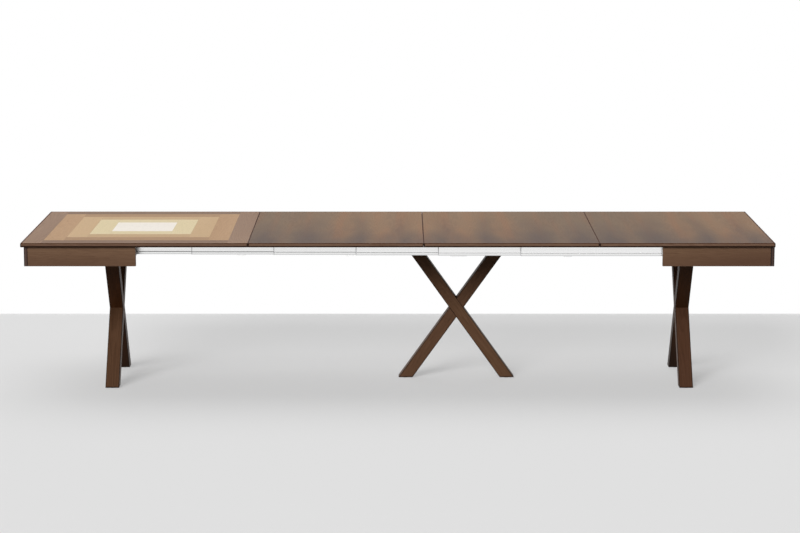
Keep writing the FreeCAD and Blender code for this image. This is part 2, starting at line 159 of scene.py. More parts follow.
def streaks(place, per_metre, drawn_out, detail=2.0):
    """Noise with so many spots a metre across the grain, drawn out so many times along it."""
    rate = (per_metre / drawn_out, per_metre, per_metre)
    noise = {"Vector": place.times(rate), "Scale": 1.0, "Detail": detail}
    return place.node("TexNoise", {}, noise, "Fac")


def relief(height, strength, depth):
    """A surface normal tilted by a height from 0 to 1 that stands for a depth in metres."""
    return height.node("Bump", {}, {"Height": height, "Strength": strength, "Distance": depth})


# Streaks are written as spots a metre, the times that they are drawn out and, where needed, their detail
NOISE_MIDDLE = (0.3, 0.7)
SLOW_DRAWN_OUT = 9.0
SLOW_SWAY = 2.4
QUICK_RATE = 6.0
QUICK_DRAWN_OUT = 14.0
QUICK_SWAY = 0.06
FIBRE_STREAKS = (260.0, 40.0, 3.0)
PORE_STREAKS = (900.0, 30.0)
PORE_LIMITS = (0.60, 0.72)
PORE_TONE = 0.45
PORE_COVER = 0.6
RING_SLANT = 0.6
RING_DEEPENS = (0.1, 0.9)
RING_TURNS = (0.9, 1.0)
SLOW_SHARE = 0.4
RING_SHARE = 0.3
FIBRE_SHARE = 0.3
MIDDLE_TONE = 0.5


def timber(place, dark, light, rings=70.0, broad=4.0, contrast=1.0):
    """Colour, fibre and pores of cut timber. Growth rings lie across the grain, swayed by slow and by
    quicker noise: in each, the tone deepens slowly and turns pale again at once. Broad streaks shift
    the tone, contrast spreads it about its middle, and fine fibres and short dark pores lie along it."""
    slow = streaks(place, broad, SLOW_DRAWN_OUT)
    quick = streaks(place, broad * QUICK_RATE, QUICK_DRAWN_OUT)
    fibre = streaks(place, *FIBRE_STREAKS)
    pores = streaks(place, *PORE_STREAKS).rise(*PORE_LIMITS)
    across = place.node("SeparateXYZ", {}, {0: place}, "Y")
    depth = place.node("SeparateXYZ", {}, {0: place}, "Z")
    swayed = across + depth * RING_SLANT + slow * (SLOW_SWAY / broad) + quick * QUICK_SWAY
    year = place.math("FRACT", swayed * rings)
    ring = 1.0 - year.rise(*RING_DEEPENS) * (1.0 - year.rise(*RING_TURNS))
    tone = slow.rise(*NOISE_MIDDLE) * SLOW_SHARE + ring * RING_SHARE
    tone = tone + fibre.rise(*NOISE_MIDDLE) * FIBRE_SHARE
    tone = (tone - MIDDLE_TONE) * contrast + MIDDLE_TONE
    colour = tone.mix(dark, light)
    colour = (pores * PORE_COVER).mix(colour, shaded(dark, PORE_TONE))
    return colour, fibre, pores


LACQUER_RELIEF = 0.15
LACQUER_DEPTH = 0.0004
FIBRE_RISE = 0.5
PORE_SINK = 0.5
FIBRE_DULL = 0.12
PORE_DULL = 0.10


def lacquered(colour, fibre, pores, roughness, gloss):
    """Principled inputs of satin lacquer over open grain: pores dull it and fibres ripple it."""
    return {
        "Base Color": colour,
        "Roughness": fibre * FIBRE_DULL + pores * PORE_DULL + (roughness - FIBRE_DULL / 2),
        "Specular IOR Level": gloss,
        "Normal": relief(fibre * FIBRE_RISE - pores * PORE_SINK, LACQUER_RELIEF, LACQUER_DEPTH),
    }


ARM_DARK = (0.060, 0.0275, 0.0130)
ARM_LIGHT = (0.100, 0.0490, 0.0255)

# Painted light and shade: the tones of each arm are times its own shade of red, green and blue, matched to
# the photograph, darker for arms that lie in shade and lighter for the centre arms
ARM_LIGHT_AND_SHADES = {
    "left_leg_arm_front": (1.00, 1.00, 1.00),
    "left_leg_arm_back": (0.78, 0.60, 0.44),
    "right_leg_arm_front": (0.88, 0.82, 0.88),
    "right_leg_arm_back": (0.56, 0.46, 0.36),
    "centre_leg_arm_left": (1.16, 1.22, 1.34),
    "centre_leg_arm_right": (1.40, 1.52, 1.66),
}
# Painted shade: the back arms of the end legs darken towards their feet
PAINTED_FOOT_SHADES = {"left_leg_arm_back": 0.45, "right_leg_arm_back": 0.45}
ARM_RINGS = 60.0
ARM_BROAD = 6.0
ARM_ROUGHNESS = 0.46
ARM_GLOSS = 0.05
# Stain and painted shade along the arrises, and stain and a painted contact shadow at the foot
ARM_STAIN_AND_SHADE = 0.36
ARRIS_REACH = 0.0040
TOE_REACH = 0.0060
FACE_SKIN = 0.001


def arm_points(name):
    """The corners of an arm, as rows of X, Y and Z."""
    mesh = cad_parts[name].data
    points = np.empty(3 * len(mesh.vertices))
    mesh.vertices.foreach_get("co", points)
    return points.reshape(-1, 3)


def arm_ends(name):
    """The middles of an arm's foot face and of its head face."""
    points = arm_points(name)
    heights = points[:, 2]
    foot = points[heights < heights.min() + FACE_SKIN]
    head = points[heights > heights.max() - FACE_SKIN]
    return (foot.min(0) + foot.max(0)) / 2, (head.min(0) + head.max(0)) / 2


def near_rim(paint, points, direction):
    """Goes from 0 to 1 over the last few millimetres before the limits of the points in a direction."""
    reaches = points @ direction
    middle = (reaches.max() + reaches.min()) / 2
    half = (reaches.max() - reaches.min()) / 2
    operands = {0: here(paint), 1: direction}
    reach = paint.node("VectorMath", {"operation": "DOT_PRODUCT"}, operands, "Value")
    return (reach - middle).size().rise(half - ARRIS_REACH, half - ARRIS_REACH / 2)


def arm_finish(name, shade):
    """Dark walnut, its colours times a shade of painted light or shade, whose grain runs from the arm's
    foot to its head. Below the middle the colour deepens to its painted foot shade. Stain and painted
    shade gather along the arrises, near the limits of both width and depth, and stain and a painted
    contact shadow at the sawn foot."""
    dark = shaded(ARM_DARK, shade)
    light = shaded(ARM_LIGHT, shade)
    foot_shade = PAINTED_FOOT_SHADES.get(name, 1.0)
    points = arm_points(name)
    foot, head = arm_ends(name)
    middle_height = (foot[2] + head[2]) / 2
    lean = (head - foot) / np.linalg.norm(head - foot)
    through = np.cross(lean, UPWARDS)
    through = through / np.linalg.norm(through)

    def sockets(paint):
        """The arm's grain first, then its painted foot shade, then the stain and painted shade."""
        grain = timber(along(paint, lean), dark, light, rings=ARM_RINGS, broad=ARM_BROAD)
        colour, fibre, pores = grain
        height = spot(paint, "Z")
        tone = height.rise(foot[2], middle_height) * (1.0 - foot_shade) + foot_shade
        arris = near_rim(paint, points, np.cross(lean, through)) * near_rim(paint, points, through)
        toe = 1.0 - height.rise(foot[2] + TOE_REACH / 2, foot[2] + TOE_REACH)
        darkened = paint.math("MAXIMUM", arris, toe)
        colour = darkened.mix(colour.times(tone), shaded(dark, ARM_STAIN_AND_SHADE))
        return lacquered(colour, fibre, pores, ARM_ROUGHNESS, ARM_GLOSS)

    return finish(name + "_walnut", sockets)


for arm_name, arm_light_and_shade in ARM_LIGHT_AND_SHADES.items():
    coat(arm_finish(arm_name, arm_light_and_shade), arm_name)

# Foot pads
# A round pad of dense pressed felt is glued under each foot. It is a little smaller than the foot
# face, and holds the wood clear of the floor.

HAIR_STREAKS = (700.0, 1.0, 4.0)
FELT_DARK = (0.045, 0.040, 0.036)
FELT_LIGHT = (0.085, 0.078, 0.070)
FELT_ROUGHNESS = 0.95
FELT_RELIEF = 0.6
FELT_DEPTH = 0.0006


def felt(paint):
    """Fine even noise gives the matted hairs, both as tone and as relief."""
    hairs = streaks(along(paint, ALONG_X), *HAIR_STREAKS)
    return {
        "Base Color": hairs.rise(*NOISE_MIDDLE).mix(FELT_DARK, FELT_LIGHT),
        "Roughness": FELT_ROUGHNESS,
        "Normal": relief(hairs, FELT_RELIEF, FELT_DEPTH),
    }


coat(finish("foot_felt", felt), "left_leg_foot_pads", "right_leg_foot_pads", "centre_leg_foot_pads")

# Aprons
# Three boards close each end frame: veneered walnut with the grain along the board. The end board
# laps over the ends of the other two, so its own ends show darker end grain beside a bevelled joint.

ALONG_Y = (0.0, 1.0, 0.0)
APRON_DARK = (0.110, 0.057, 0.030)
APRON_LIGHT = (0.199, 0.114, 0.066)
APRON_FIGURE = {"broad": 12.0, "contrast": 0.75}
APRON_ROUGHNESS = 0.45
APRON_GLOSS = 0.15
# Painted shade: the side boards darken towards their lower edge and, on the right, towards the table's end
APRON_LOW_SHADE = (0.092, 0.045, 0.025)
APRON_SHADE_FADE = 0.65
END_SHADE_FADES = {"left": 0.0, "right": 0.55}
END_GRAIN = (0.080, 0.047, 0.037)
# Painted shade on the end grain of the right end board
END_GRAIN_PAINTED_SHADES = {"left": 1.0, "right": 0.68}
END_GRAIN_DEPTH = 0.003
# Painted shade in the bevels at the end board's joint and at its outer corner
BEVEL_SHADE = (0.020, 0.010, 0.007)
BEVEL_REACH = 0.0055
BEVEL_FADE = 0.35


def side_board_finish(side):
    """Walnut with its grain along the table, darkened by painted shade towards its lower edge and, by the
    side's end fade, towards the end of the table."""
    low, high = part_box(f"{side}_front_apron")
    near_end = max(abs(low.x), abs(high.x))
    far_end = min(abs(low.x), abs(high.x))

    def sockets(paint):
        """The board's grain, then the painted shade over it."""
        place = along(paint, ALONG_X)
        colour, fibre, pores = timber(place, APRON_DARK, APRON_LIGHT, **APRON_FIGURE)
        deep = (1.0 - spot(paint, "Z").rise(low.z, high.z)) * APRON_SHADE_FADE
        deep = deep + spot(paint, "X").size().rise(far_end, near_end) * END_SHADE_FADES[side]
        colour = deep.mix(colour, APRON_LOW_SHADE)
        return lacquered(colour, fibre, pores, APRON_ROUGHNESS, APRON_GLOSS)

    return finish(f"{side}_apron_walnut", sockets)


def end_board_finish(side):
    """Walnut with its grain across the table, darker within a skin of its two sawn ends, whose colour is
    times a painted shade, and with painted shade along the bevels of the outer and the inner face."""
    name = f"{side}_end_apron"
    low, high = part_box(name)
    middle = (low.x + high.x) / 2
    bevel = (high.x - low.x) / 2 - BEVEL_REACH

    def sockets(paint):
        """The board's grain, and at its ends the end grain and the painted shade on its bevels."""
        place = along(paint, ALONG_Y)
        colour, fibre, pores = timber(place, APRON_DARK, APRON_LIGHT, **APRON_FIGURE)
        at_end = spot(paint, "Y").size().rise(high.y - END_GRAIN_DEPTH, high.y - END_GRAIN_DEPTH / 2)
        darkened = (spot(paint, "X") - middle).size().rise(bevel, bevel + BEVEL_REACH * BEVEL_FADE)
        end = darkened.mix(shaded(END_GRAIN, END_GRAIN_PAINTED_SHADES[side]), BEVEL_SHADE)
        colour = at_end.mix(colour, end)
        return lacquered(colour, fibre, pores, APRON_ROUGHNESS, APRON_GLOSS)

    return finish(name + "_walnut", sockets)


for side in ("left", "right"):
    coat(side_board_finish(side), f"{side}_front_apron", f"{side}_back_apron")
    coat(end_board_finish(side), f"{side}_end_apron")

# Crossbeams and corner blocks
# Plain sanded beech, hidden inside each end frame: the beam carries the leg, the blocks are glued
# and screwed into the corners.

BEECH_DARK = (0.40, 0.25, 0.14)
BEECH_LIGHT = (0.60, 0.43, 0.27)
BEECH_RINGS = 130.0
BEECH_ROUGHNESS = 0.6
BEECH_GLOSS = 0.3


def beech(paint):
    """Pale timber with close rings and its grain across the table."""
    grain = timber(along(paint, ALONG_Y), BEECH_DARK, BEECH_LIGHT, rings=BEECH_RINGS)
    return lacquered(*grain, BEECH_ROUGHNESS, BEECH_GLOSS)


beech_finish = finish("beech", beech)
for side in ("left", "right"):
    coat(beech_finish, f"{side}_crossbeam", f"{side}_corner_blocks")

# Brackets and head
# Steel angles hold the beams to the aprons, and a plate and post carry the centre leg. All are powder
# coated pale grey, with a fine orange-peel skin.

COAT_DARK = (0.70, 0.70, 0.70)
COAT_LIGHT = (0.80, 0.80, 0.80)
COAT_PATCHES = (6.0, 1.0)
COAT_ROUGHNESS = 0.38
PEEL_BUMPS = (420.0, 1.0)
PEEL_DULL = 0.2
PEEL_RELIEF = 0.25
PEEL_DEPTH = 0.0005


def powder_coat(paint):
    """Small bumps cover a grey that slow noise makes a little paler in patches."""
    place = along(paint, ALONG_X)
    peel = streaks(place, *PEEL_BUMPS)
    return {
        "Base Color": streaks(place, *COAT_PATCHES).rise(*NOISE_MIDDLE).mix(COAT_DARK, COAT_LIGHT),
        "Roughness": peel * PEEL_DULL + COAT_ROUGHNESS,
        "Normal": relief(peel, PEEL_RELIEF, PEEL_DEPTH),
    }


coated_steel = finish("grey_powder_coat", powder_coat)
coat(coated_steel, "left_beam_brackets", "right_beam_brackets")
coat(coated_steel, "centre_leg_head_plate", "centre_leg_post")

# Rails and cross bars
# Extruded aluminium, anodised to a pale satin. The die leaves faint lines along each length. Painted shade
# darkens the slot that the next rail runs in, the lip below it, the lower rim and a few millimetres at
# each end of a rail.

STAGES = [f"stage_{number}" for number in range(1, 7)]
RAIL_DARK = (0.90, 0.90, 0.90)
RAIL_LIGHT = (0.95, 0.95, 0.945)
RAIL_CLOUDS = (14.0, 30.0)
RAIL_LINES = (1500.0, 4000.0, 1.0)
RAIL_ROUGHNESS = 0.22
RAIL_LINE_DULL = 0.06
RAIL_LINE_RELIEF = 0.012
LINE_DEPTH = 0.0002
# Painted shade below the slot
LIP_SHADE_GREY = (0.87, 0.87, 0.87)
# Painted shade in the slot, behind its lips
SLOT_SHADE = (0.16, 0.16, 0.16)

# The share of painted slot shade in these stages, matched to the photograph; other slots have it all
SLOT_SHADE_SHARES = {"stage_2": 0.90, "stage_3": 0.40, "stage_4": 0.30, "stage_5": 0.10, "stage_6": 0.10}
# Painted shade within a few millimetres of each rail's ends, where one rail steps past the next
RAIL_END_SHADE_GREY = (0.56, 0.56, 0.57)
RAIL_END_SHADE_REACH = 0.003
RAIL_END_SHADE_FADE = 0.9
# Painted shade along the lower rim
RIM_SHADE_GREY = (0.66, 0.66, 0.66)
RIM_REACH = 0.004
RIM_FADE = 0.8
SLOT_MIDDLE = 0.0135
SLOT_HALF = 0.0036
SLOT_LIP = 0.0012


def rail_finish(name):
    """Satin metal with lines along X, greyer with painted shade below the slot, along the lower rim and
    within a few millimetres of the two ends. Dark painted shade covers it, or a share of it, at the slot's
    height behind the slot's lips."""
    low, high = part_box(name)
    face = max(abs(low.y), abs(high.y))
    middle = (low.x + high.x) / 2
    half = (high.x - low.x) / 2
    stage = name.partition("_rail")[0]
    slot_shade_share = SLOT_SHADE_SHARES.get(stage, 1.0)

    def sockets(paint):
        """The metal first, then its painted shade from the slot down, then the painted shade in the slot
        and at the ends.
        """
        place = along(paint, ALONG_X)
        die_lines = streaks(place, *RAIL_LINES)
        colour = streaks(place, *RAIL_CLOUDS).rise(*NOISE_MIDDLE).mix(RAIL_DARK, RAIL_LIGHT)
        height = spot(paint, "Z")
        above_slot = height - (low.z + SLOT_MIDDLE)
        colour = above_slot.rise(-SLOT_HALF, SLOT_HALF).mix(LIP_SHADE_GREY, colour)
        above_rim = height.rise(low.z + RIM_REACH * RIM_FADE, low.z + RIM_REACH)
        colour = above_rim.mix(RIM_SHADE_GREY, colour)
        inside = 1.0 - spot(paint, "Y").size().rise(face - SLOT_LIP, face - SLOT_LIP / 2)
        beside_slot = above_slot.size().rise(SLOT_HALF, SLOT_HALF + SLOT_LIP / 4)
        slot_shaded = inside * (1.0 - beside_slot) * slot_shade_share
        colour = slot_shaded.mix(colour, SLOT_SHADE)
        from_middle = (spot(paint, "X") - middle).size()
        at_end = from_middle.rise(half - RAIL_END_SHADE_REACH, half - RAIL_END_SHADE_REACH * RAIL_END_SHADE_FADE)
        return {
            "Base Color": at_end.mix(colour, RAIL_END_SHADE_GREY),
            "Metallic": 1.0 - paint.math("MAXIMUM", at_end, slot_shaded),
            "Roughness": die_lines * RAIL_LINE_DULL + RAIL_ROUGHNESS,
            "Normal": relief(die_lines, RAIL_LINE_RELIEF, LINE_DEPTH),
        }

    return finish(name + "_aluminium", sockets)


for row in ("front", "back"):
    rails = [f"left_rail_{row}", f"right_runner_{row}"]
    rails += [f"{stage}_rail_{row}" for stage in STAGES]
    for rail in rails:
        coat(rail_finish(rail), rail)

BAR_LINES = (900.0, 2000.0, 1.0)
BAR_ROUGHNESS = 0.30
BAR_LINE_DULL = 0.15
BAR_LINE_RELIEF = 0.12


def bar_stock(paint):
    """The same metal with its lines along Y, where the bar was drawn."""
    die_lines = streaks(along(paint, ALONG_Y), *BAR_LINES)
    return {
        "Base Color": die_lines.rise(*NOISE_MIDDLE).mix(RAIL_DARK, RAIL_LIGHT),
        "Metallic": 1.0,
        "Roughness": die_lines * BAR_LINE_DULL + BAR_ROUGHNESS,
        "Normal": relief(die_lines, BAR_LINE_RELIEF, LINE_DEPTH),
    }


coat(finish("bar_aluminium", bar_stock), *(f"{stage}_cross_bar" for stage in STAGES))

# Screws and bolts
# Zinc plated steel. Screws with a cross recess hold the cross bars, the brackets and the corner blocks,
# and bolts with a hexagon socket hold the arms and the post of the centre leg.

HEAD_TURNS = 48
HEAD_RINGS = 14
SHARP_TURN = math.radians(38.0)
DOME_POWER = 2.6
DOME_LAST_TILT = 0.06

# The recess of a screw and the socket of a bolt are shares of the head's radius and of its height
RECESS_HALF_WIDTH = 0.13
RECESS_HALF_LENGTH = 0.62
RECESS_WALL = 0.06
RECESS_DEPTH = 0.7
SOCKET_HALF_WIDTH = 0.42
SOCKET_FLOOR = 0.3
SOCKET_MIDDLE = 0.2
SHOULDER_RINGS = 6
SHOULDER_REACH = 0.62
SHOULDER_FOOT = 0.35


def head_turns():
    """The turns of a head's grid, evenly all round, as a column."""
    return np.linspace(0.0, math.tau, HEAD_TURNS, endpoint=False)[:, None]


def pan_head(radius, height):
    """A grid of turn by ring. The dome is a superellipse of revolution from its rim to a small ring at
    the middle, and two crossed slots, which get shallower along their length, sink into it."""
    turn = head_turns()
    tilt = np.linspace(math.pi / 2, DOME_LAST_TILT, HEAD_RINGS)[None, :]
    reach = radius * np.sin(tilt)
    x, y = reach * np.cos(turn), reach * np.sin(turn)
    dome = height * (1.0 - np.sin(tilt) ** DOME_POWER) ** (1.0 / DOME_POWER)
    half_width = RECESS_HALF_WIDTH * radius
    half_length = RECESS_HALF_LENGTH * radius
    wall = RECESS_WALL * radius

    def slot(across, along_it):
        """1 between a slot's walls, falling to 0 over a wall's width, times a parabola along it."""
        between = np.clip((half_width + wall - np.abs(across)) / wall, 0.0, 1.0)
        return between * np.clip(1.0 - (along_it / half_length) ** 2, 0.0, 1.0)

    z = dome - RECESS_DEPTH * height * np.maximum(slot(x, y), slot(y, x))
    return np.stack([x, y, z], axis=-1)


def socket_head(radius, height):
    """A grid of turn by ring: a short round wall, a quarter ellipse up to a flat lip, then a socket whose
    reach at each turn is that of a hexagon, its half width over the cosine of the turn from a flat."""
    turn = head_turns()
    sixth = math.pi / 3
    hexagon = SOCKET_HALF_WIDTH * radius / np.cos((turn + sixth / 2) % sixth - sixth / 2)
    bend = np.linspace(0.0, math.pi / 2, SHOULDER_RINGS)
    shoulder = SHOULDER_REACH * radius + (1.0 - SHOULDER_REACH) * radius * np.cos(bend)
    shoulder_height = SHOULDER_FOOT * height + (1.0 - SHOULDER_FOOT) * height * np.sin(bend)
    round_reach = np.tile(np.concatenate([[radius], shoulder]), (HEAD_TURNS, 1))
    reach = np.concatenate([round_reach, hexagon, hexagon, SOCKET_MIDDLE * hexagon], axis=1)
    floor_height = SOCKET_FLOOR * height
    heights = np.concatenate([[0.0], shoulder_height, [height, floor_height, floor_height]])
    z = np.tile(heights, (HEAD_TURNS, 1))
    return np.stack([reach * np.cos(turn), reach * np.sin(turn), z], axis=-1)


ZINC_BLUE = (0.60, 0.61, 0.62)
ZINC_YELLOW = (0.68, 0.66, 0.60)
ZINC_PATCHES = (90.0, 1.0)
ZINC_PATCH_LIMITS = (0.35, 0.65)
ZINC_GRAIN = (2500.0, 1.0)
ZINC_ROUGHNESS = 0.22
ZINC_DULL = 0.15
ZINC_RELIEF = 0.1
ZINC_DEPTH = 0.0001


def zinc(paint):
    """Plated steel: slow patches turn the grey a little blue or yellow, and fine noise dulls it."""
    place = along(paint, ALONG_X)
    patch = streaks(place, *ZINC_PATCHES)
    fine = streaks(place, *ZINC_GRAIN)
    return {
        "Base Color": patch.rise(*ZINC_PATCH_LIMITS).mix(ZINC_BLUE, ZINC_YELLOW),
        "Metallic": 1.0,
        "Roughness": fine * ZINC_DULL + ZINC_ROUGHNESS,
        "Normal": relief(fine, ZINC_RELIEF, ZINC_DEPTH),
    }


zinc_finish = finish("zinc_plate", zinc)
NEARLY_UPRIGHT = 0.9


def fasten(name, body, head, sites, axes):
    """Copies of a head, one at each site with its height along its axis: a point of the head goes to
    the site plus its three coordinates times two directions square to the axis and the axis itself."""
    sites = np.asarray(sites, float)
    up = np.broadcast_to(np.asarray(axes, float), sites.shape)
    up = up / np.linalg.norm(up, axis=1, keepdims=True)
    upright = np.abs(up[:, 2:]) > NEARLY_UPRIGHT
    side = np.cross(np.where(upright, [ALONG_X], [UPWARDS]), up)
    side = side / np.linalg.norm(side, axis=1, keepdims=True)
    basis = np.stack([side, np.cross(up, side), up], axis=1)
    points = sites[:, None, None, :] + np.einsum("trk,nkc->ntrc", head, basis)
    turns, rings = head.shape[:2]
    spots = np.arange(len(sites) * turns * rings).reshape(len(sites), turns, rings)
    following = np.roll(spots, -1, axis=1)
    corners = [spots[:, :, :-1], following[:, :, :-1], following[:, :, 1:], spots[:, :, 1:]]
    quads = np.stack(corners, axis=-1).reshape(-1, 4)
    caps = np.concatenate([spots[:, ::-1, 0], spots[:, :, -1]])
    mesh = bpy.data.meshes.new(name)
    mesh.from_pydata(points.reshape(-1, 3).tolist(), [], quads.tolist() + caps.tolist())
    mesh.polygons.foreach_set("use_smooth", np.ones(len(mesh.polygons), bool))
    mesh.set_sharp_from_angle(angle=SHARP_TURN)
    mesh.materials.append(zinc_finish)
    piece = bpy.data.objects.new(name, mesh)
    bpy.context.scene.collection.objects.link(piece)
    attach(piece, body)


DOWNWARDS = (0.0, 0.0, -1.0)
BAR_SCREW = pan_head(radius=0.0045, height=0.0009)
RAIL_HALF = 0.0059
BAR_SCREW_SHARE = 0.28
for stage in STAGES:
    low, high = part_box(f"{stage}_cross_bar")
    aside = BAR_SCREW_SHARE * (high.x - low.x)
    middle = (low.x + high.x) / 2
    inset = high.y - RAIL_HALF
    sites = [(middle + x, y, low.z) for x in (-aside, aside) for y in (-inset, inset)]
    fasten(f"{stage}_bar_screws", stage, BAR_SCREW, sites, DOWNWARDS)

WOOD_SCREW = pan_head(radius=0.0036, height=0.0020)
LEG_BOLT = socket_head(radius=0.0055, height=0.0018)
BRACKET_WALL = 0.003
BRACKET_SCREW_IN = 0.012
BRACKET_ROWS = (0.007, 0.020)
BLOCK_SPREAD = 0.018
LEG_BOLT_SPREAD = 0.020
HALF_TURN = np.array([-1.0, -1.0, 1.0])


def bracket_screws(side):
    """A column of screws on each leg of the front bracket, one leg on the apron and one on the beam. The
    back bracket's are the same, turned half round the upright line between the two brackets."""
    low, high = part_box(f"{side}_beam_brackets")
    beam_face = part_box(f"{side}_crossbeam")[1].x + BRACKET_WALL
    apron_face = low.y + BRACKET_WALL
    on_apron = [(high.x - BRACKET_SCREW_IN, apron_face, low.z + row) for row in BRACKET_ROWS]
    on_beam = [(beam_face, apron_face + BRACKET_SCREW_IN, low.z + row) for row in BRACKET_ROWS]
    front = np.array(on_apron + on_beam)
    front_axes = np.array([ALONG_Y] * len(on_apron) + [ALONG_X] * len(on_beam))
    middle = (low + high) / 2
    between = np.array([middle.x, middle.y, 0.0])
    back = (front - between) * HALF_TURN + between
    sites = np.concatenate([front, back])
    axes = np.concatenate([front_axes, front_axes * HALF_TURN])
    fasten(f"{side}_bracket_screws", f"{side}_frame", WOOD_SCREW, sites, axes)


def block_screws(side, outwards):
    """Two screws side by side on the slanting face of each corner block, square to that face."""
    low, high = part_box(f"{side}_corner_blocks")
    corner_x = low.x if side == "left" else high.x
    half_leg = (high.x - low.x) / 2
    height = (low.z + high.z) / 2
    sites, axes = [], []
    for corner_y, inwards in ((low.y, 1.0), (high.y, -1.0)):
        for shift in (-BLOCK_SPREAD, BLOCK_SPREAD):
            x = corner_x - outwards * (half_leg + shift)
            sites.append((x, corner_y + inwards * (half_leg - shift), height))
            axes.append((-outwards, inwards, 0.0))
    fasten(f"{side}_block_screws", f"{side}_frame", WOOD_SCREW, sites, axes)


def leg_bolts(side):
    """Two bolts on the beam over the head of each arm, one before and one behind its middle."""
    beam_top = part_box(f"{side}_crossbeam")[1].z
    sites = []
    for arm in ("front", "back"):
        head = arm_ends(f"{side}_leg_arm_{arm}")[1]
        sites += [(head[0], head[1] + y, beam_top) for y in (-LEG_BOLT_SPREAD, LEG_BOLT_SPREAD)]
    fasten(f"{side}_leg_bolts", f"{side}_frame", LEG_BOLT, sites, UPWARDS)


for side, outwards in (("left", -1.0), ("right", 1.0)):
    bracket_screws(side)
    block_screws(side, outwards)
    leg_bolts(side)

ARM_BOLT = socket_head(radius=0.0060, height=0.0008)
POST_BOLT = socket_head(radius=0.0060, height=0.0030)
POST_BOLT_ASIDE = 0.030
POST_BOLT_FORWARD = 0.016
ARM_BOLT_INSET = 0.045
ARM_BOLT_FORWARD = 0.017
low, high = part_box("centre_leg_head_plate")
middle = (low + high) / 2
columns = (middle.x - POST_BOLT_ASIDE, middle.x + POST_BOLT_ASIDE)
sites = [(x, y, low.z) for x in columns for y in (-POST_BOLT_FORWARD, POST_BOLT_FORWARD)]
fasten("centre_post_bolts", "stage_4", POST_BOLT, sites, DOWNWARDS)
columns = (low.x + ARM_BOLT_INSET, high.x - ARM_BOLT_INSET)
sites = [(x, y, high.z) for x in columns for y in (-ARM_BOLT_FORWARD, ARM_BOLT_FORWARD)]
fasten("centre_arm_bolts", "stage_4", ARM_BOLT, sites, UPWARDS)

# Main top and leaves
# Walnut veneer on flat board under satin lacquer. On the leaves the veneer runs across the table,
# and on the main top it frames the inlay, with full-depth pieces at the left and right.

TOP_ROUGHNESS = 0.60
TOP_GLOSS = 0.08
LEAF_TAN = ((0.193, 0.115, 0.066), (0.260, 0.159, 0.091))
LEAF_GREY = ((0.138, 0.093, 0.060), (0.189, 0.128, 0.083))
LEAF_BROAD = 5.0
LEAF_SHADES = {"leaf_1": 1.0, "leaf_2": 0.98, "leaf_3": 0.94}
TURNED_LEAVES = ("leaf_2",)
DRIFT_STREAKS = (8.0, 14.0, 1.0)
DRIFT_SWAY = 1.2
RUDDY = (1.07, 0.97, 0.93)
RUDDY_STREAKS = (13.0, 16.0, 1.0)
RUDDY_LIMITS = (0.42, 0.66)
FLAME_MIDDLE = 0.416
FLAME_HALF = 0.115
FLAME_STREAKS = (6.0, 3.0)
FLAME_SWAY = 0.16
# Dusk: dark patches in the figure, with painted shade that deepens towards the front edge
LEAF_DUSK = (0.092, 0.065, 0.055)
DUSK_STREAKS = (9.0, 4.0, 1.0)
DUSK_NOISE = 0.45
DUSK_BETWEEN = 0.32
DUSK_FORWARD = 0.80
DUSK_LIMITS = (0.18, 1.05)
DUSK_COVER = 0.96
SEAM_STAIN = (0.060, 0.021, 0.011)
SEAM_REACH = 0.0030
SEAM_FADE = 0.6


def seam_stain(paint, name, colour):
    """The colour of a panel, darkened by stain within a few millimetres of its two ends along X."""
    low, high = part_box(name)
    from_end = (high.x - low.x) / 2 - (spot(paint, "X") - (low.x + high.x) / 2).size()
    return from_end.rise(SEAM_REACH * SEAM_FADE, SEAM_REACH).mix(SEAM_STAIN, colour)


def leaf_finish(name, shade):
    """Walnut across the table from one matched set of sheets, every second one turned over. Away from the
    sheet's first edge the heartwood drifts from grey to tan, swayed by broad streaks, and some bands of it
    are ruddy. Dusk, partly dark patches in the figure and partly painted shade, thickens towards the front
    edge, least in flames at an even spacing, which narrow that way. All is times a shade."""
    low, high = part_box(name)

    def sockets(paint):
        """Grey and tan grain, then the ruddy bands, the dusk and painted shade between the flames, and the
        seams.
        """
        across = high.x - spot(paint, "X") if name in TURNED_LEAVES else spot(paint, "X") - low.x
        forward = spot(paint, "Y")
        place = paint.node("CombineXYZ", {}, {0: forward, 1: across, 2: spot(paint, "Z")})
        tan, fibre, pores = timber(place, *LEAF_TAN, broad=LEAF_BROAD)
        grey = timber(place, *LEAF_GREY, broad=LEAF_BROAD)[0]
        drift = across * (1.0 / (high.x - low.x))
        drift = drift + streaks(place, *DRIFT_STREAKS) * DRIFT_SWAY - DRIFT_SWAY / 2
        colour = drift.rise(0.0, 1.0).mix(grey, tan)
        reddened = streaks(place, *RUDDY_STREAKS).rise(*RUDDY_LIMITS)
        colour = reddened.mix(colour, colour.times(RUDDY))
        swayed = across + streaks(place, *FLAME_STREAKS) * FLAME_SWAY - (FLAME_MIDDLE + FLAME_SWAY / 2)
        between = paint.math("PINGPONG", swayed, FLAME_HALF) * (1.0 / FLAME_HALF)
        dusk = streaks(place, *DUSK_STREAKS) * DUSK_NOISE + between * DUSK_BETWEEN - forward * DUSK_FORWARD
        colour = (dusk.rise(*DUSK_LIMITS) * DUSK_COVER).mix(colour, LEAF_DUSK)
        colour = seam_stain(paint, name, colour.times((shade, shade, shade)))
        return lacquered(colour, fibre, pores, TOP_ROUGHNESS, TOP_GLOSS)

    return finish(name + "_walnut", sockets)


for leaf, leaf_shade in LEAF_SHADES.items():
    coat(leaf_finish(leaf, leaf_shade), leaf)

BORDER_DARK = (0.207, 0.126, 0.083)
BORDER_LIGHT = (0.300, 0.200, 0.140)
BORDER_SHADE = 0.82
BEYOND_EDGE = 2.0
JOINT = (0.030, 0.017, 0.010)
JOINT_HALF = 0.0007
JOINT_COVER = 0.35
inlay_low, inlay_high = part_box("inlay_outer_band")
inlay_middle = (inlay_low + inlay_high) / 2


def half_side(name):
    """Half the width of a square piece."""
    low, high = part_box(name)
    return (high.x - low.x) / 2


